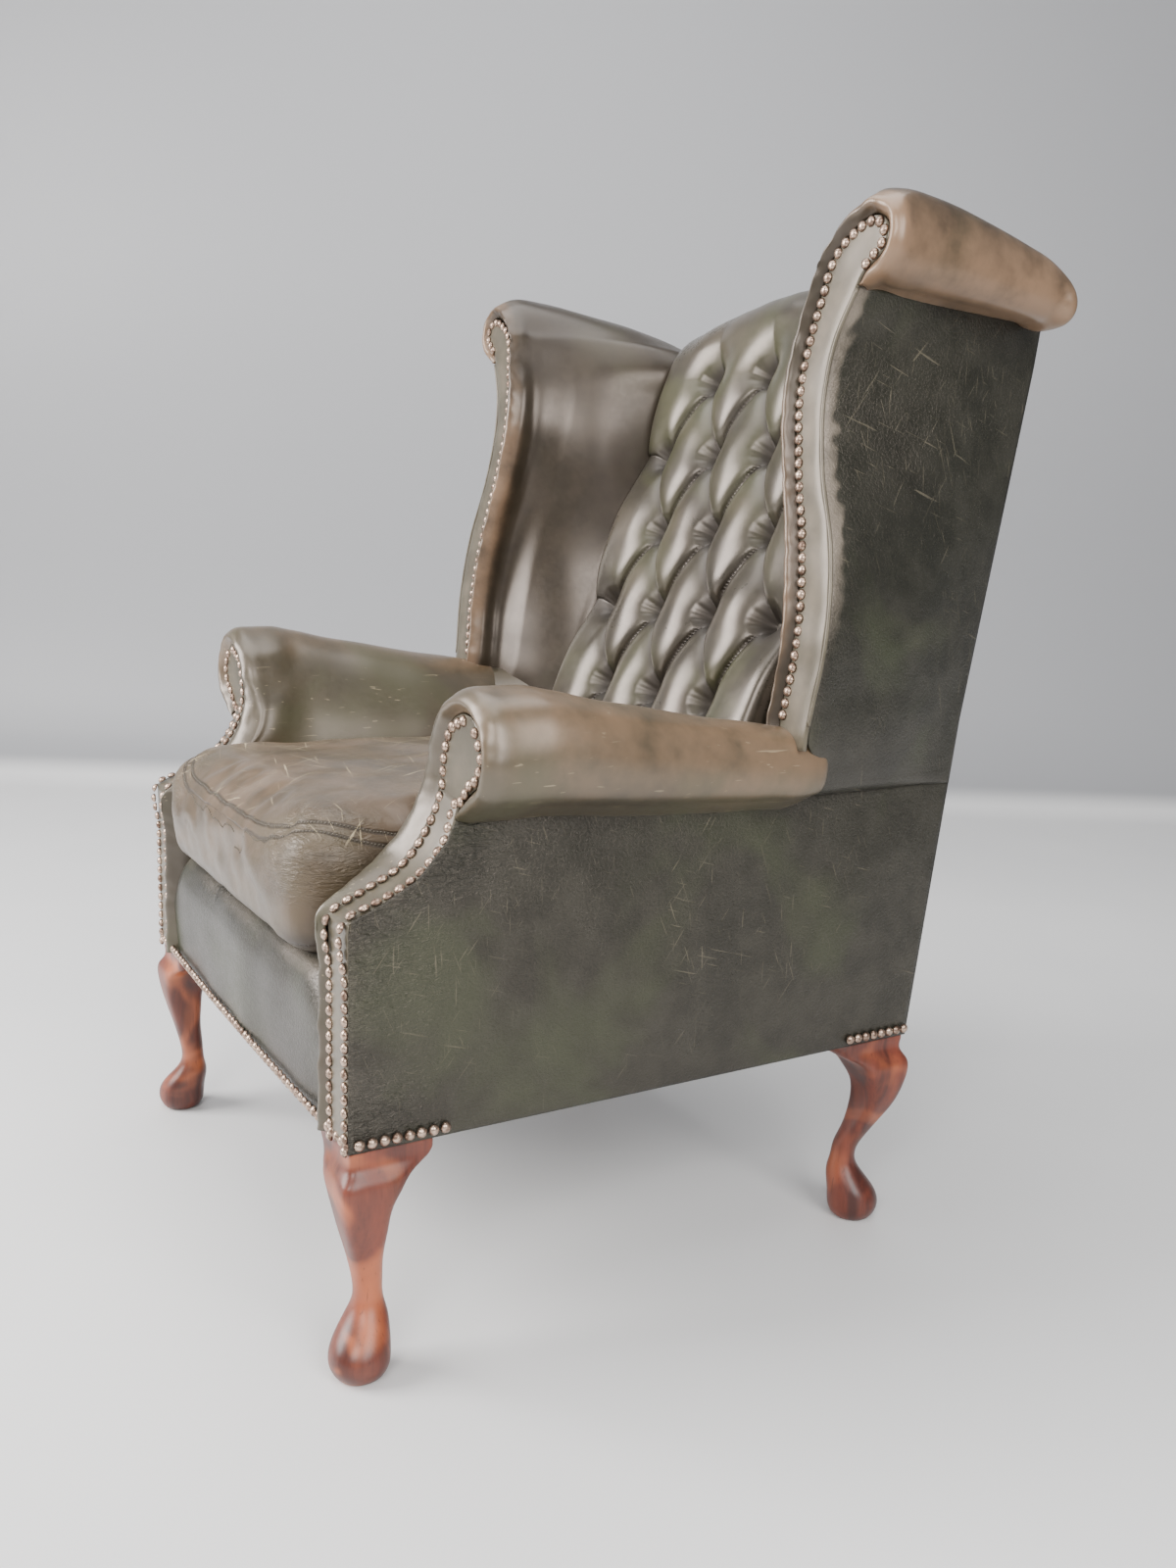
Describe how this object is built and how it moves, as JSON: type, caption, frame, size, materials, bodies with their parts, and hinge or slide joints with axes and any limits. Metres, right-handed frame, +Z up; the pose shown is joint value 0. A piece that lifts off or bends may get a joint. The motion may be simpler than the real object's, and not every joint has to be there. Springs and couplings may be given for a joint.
{
  "type": "wingback chair",
  "caption": "Wing armchair in aged leather with a deep-buttoned back, scrolled arms and wings, nailed facings, a loose seat cushion and turned-out cabriole legs.",
  "frame": {"origin": "on the floor, midway between the front and the rear and on the chair's centre plane", "axes": "+Z up, the chair faces -Y, +X is the sitter's left"},
  "size_m": [0.8254, 0.803, 1.071],
  "materials": {
    "leather_worn": "aged, rubbed brown on the high places, glossy",
    "leather_dark": "dark bottle green, grained, semi-gloss",
    "leather_facing": "olive, stretched flat, semi-gloss",
    "antique_brass": "round upholstery nails, antiqued brown",
    "mahogany": "red-brown stain, satin polish, rubbed at the edges",
    "beech_frame": "raw sawn beech",
    "webbing": "woven upholstery webbing",
    "dust_cloth": "black open-weave cambric",
    "deck_cloth": "dark platform cloth over felt",
    "cushion_foam": "open-cell foam"
  },
  "bodies": {
    "frame": {"front_seat_rail": "beech_frame", "rear_seat_rail": "beech_frame", "side_seat_rail_left": "beech_frame", "side_seat_rail_right": "beech_frame", "corner_blocks": "beech_frame", "back_tacking_rail": "beech_frame", "back_top_rail": "beech_frame", "arm_stump_left": "beech_frame", "arm_stump_right": "beech_frame", "back_post_left": "beech_frame", "back_post_right": "beech_frame", "arm_rail_left": "beech_frame", "arm_rail_right": "beech_frame", "wing_post_left": "beech_frame", "wing_post_right": "beech_frame", "wing_top_rail_left": "beech_frame", "wing_top_rail_right": "beech_frame", "front_leg_left": "mahogany", "front_leg_right": "mahogany", "rear_leg_left": "mahogany", "rear_leg_right": "mahogany", "leg_dowels": "beech_frame", "dust_cover": "dust_cloth", "seat_straps_lengthwise": "webbing", "seat_straps_crosswise": "webbing", "seat_deck": "deck_cloth", "back_webbing": "webbing", "inside_back": "leather_worn", "back_buttons": "leather_worn", "outside_back": "leather_dark", "front_border": "leather_dark", "inside_arm_left": "leather_worn", "inside_arm_right": "leather_worn", "arm_facing_left": "leather_facing", "arm_facing_right": "leather_facing", "outside_arm_left": "leather_dark", "outside_arm_right": "leather_dark", "inside_wing_left": "leather_worn", "inside_wing_right": "leather_worn", "wing_facing_left": "leather_facing", "wing_facing_right": "leather_facing", "outside_wing_left": "leather_dark", "outside_wing_right": "leather_dark", "wing_roll_left": "leather_worn", "wing_roll_right": "leather_worn"},
    "cushion": {"seat_cushion": "leather_worn", "cushion_core": "cushion_foam"}
  },
  "joints": [
    {"name": "cushion_lift", "type": "slide", "parent": "frame", "child": "cushion", "axis": [0, 0, 1], "range_m": [0, 0.3]}
  ]
}
